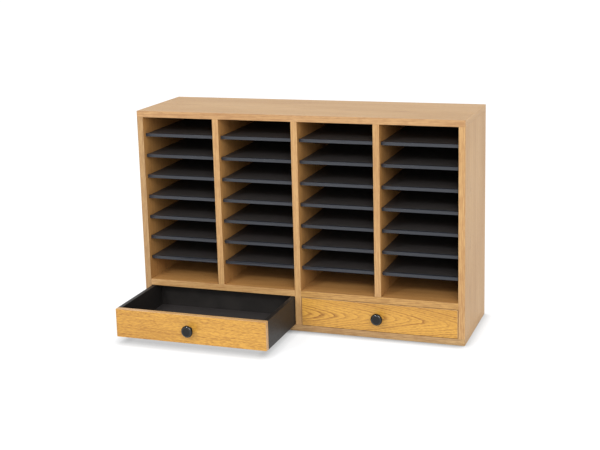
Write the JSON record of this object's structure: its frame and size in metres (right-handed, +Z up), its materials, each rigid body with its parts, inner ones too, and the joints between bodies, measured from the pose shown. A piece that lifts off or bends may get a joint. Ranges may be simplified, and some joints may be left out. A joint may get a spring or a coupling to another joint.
{
  "type": "envelope sorter with drawers",
  "caption": "Wide oak-laminate envelope and literature sorter with open columns of thin black shelves above two side-by-side drawers with round knobs.",
  "frame": {"origin": "centre of the cabinet's underside, on the surface that it stands on", "axes": "+X to the user's right along the cabinet's width, +Y from the open front to the back, +Z up"},
  "size_m": [0.997, 0.5605, 0.648],
  "materials": {
    "oak_laminate": "satin oak-grain laminate on particle board, with matching edge band",
    "black_hardboard": "hardboard with a smooth matte black face",
    "black_board": "fibreboard wrapped in matte black vinyl",
    "black_plastic": "extruded or moulded black plastic with a soft sheen",
    "knob_plastic": "moulded black plastic, semi-gloss",
    "zinc_steel": "zinc-plated steel",
    "beech": "bare beech"
  },
  "bodies": {
    "cabinet": {"bottom_panel": "oak_laminate", "top_panel": "oak_laminate", "left_side_panel": "oak_laminate", "right_side_panel": "oak_laminate", "center_divider": "oak_laminate", "left_divider": "oak_laminate", "right_divider": "oak_laminate", "left_deck": "oak_laminate", "right_deck": "oak_laminate", "back_panel": "black_hardboard", "back_nails": "zinc_steel", "cam_bolts": "zinc_steel", "cam_locks": "zinc_steel", "cam_covers": "oak_laminate", "dowels": "beech", "shelf_pins": "black_plastic", "label_holders": "black_plastic", "drawer_stops": "black_plastic", "shelf_column_1_row_1": "black_hardboard", "shelf_column_1_row_2": "black_hardboard", "shelf_column_1_row_3": "black_hardboard", "shelf_column_1_row_4": "black_hardboard", "shelf_column_1_row_5": "black_hardboard", "shelf_column_1_row_6": "black_hardboard", "shelf_column_1_row_7": "black_hardboard", "shelf_column_2_row_1": "black_hardboard", "shelf_column_2_row_2": "black_hardboard", "shelf_column_2_row_3": "black_hardboard", "shelf_column_2_row_4": "black_hardboard", "shelf_column_2_row_5": "black_hardboard", "shelf_column_2_row_6": "black_hardboard", "shelf_column_2_row_7": "black_hardboard", "shelf_column_3_row_1": "black_hardboard", "shelf_column_3_row_2": "black_hardboard", "shelf_column_3_row_3": "black_hardboard", "shelf_column_3_row_4": "black_hardboard", "shelf_column_3_row_5": "black_hardboard", "shelf_column_3_row_6": "black_hardboard", "shelf_column_3_row_7": "black_hardboard", "shelf_column_4_row_1": "black_hardboard", "shelf_column_4_row_2": "black_hardboard", "shelf_column_4_row_3": "black_hardboard", "shelf_column_4_row_4": "black_hardboard", "shelf_column_4_row_5": "black_hardboard", "shelf_column_4_row_6": "black_hardboard", "shelf_column_4_row_7": "black_hardboard"},
    "left_drawer": {"left_drawer_front": "oak_laminate", "left_drawer_left_side": "black_board", "left_drawer_right_side": "black_board", "left_drawer_back": "black_board", "left_drawer_bottom": "black_hardboard", "left_drawer_knob": "knob_plastic", "left_drawer_screws": "zinc_steel"},
    "right_drawer": {"right_drawer_front": "oak_laminate", "right_drawer_left_side": "black_board", "right_drawer_right_side": "black_board", "right_drawer_back": "black_board", "right_drawer_bottom": "black_hardboard", "right_drawer_knob": "knob_plastic", "right_drawer_screws": "zinc_steel"}
  },
  "joints": [
    {"name": "left_drawer_slide", "type": "slide", "parent": "cabinet", "child": "left_drawer", "axis": [0, -1, 0], "range_m": [-0.238, 0.0095]},
    {"name": "right_drawer_slide", "type": "slide", "parent": "cabinet", "child": "right_drawer", "axis": [0, -1, 0], "range_m": [0, 0.2475]}
  ]
}
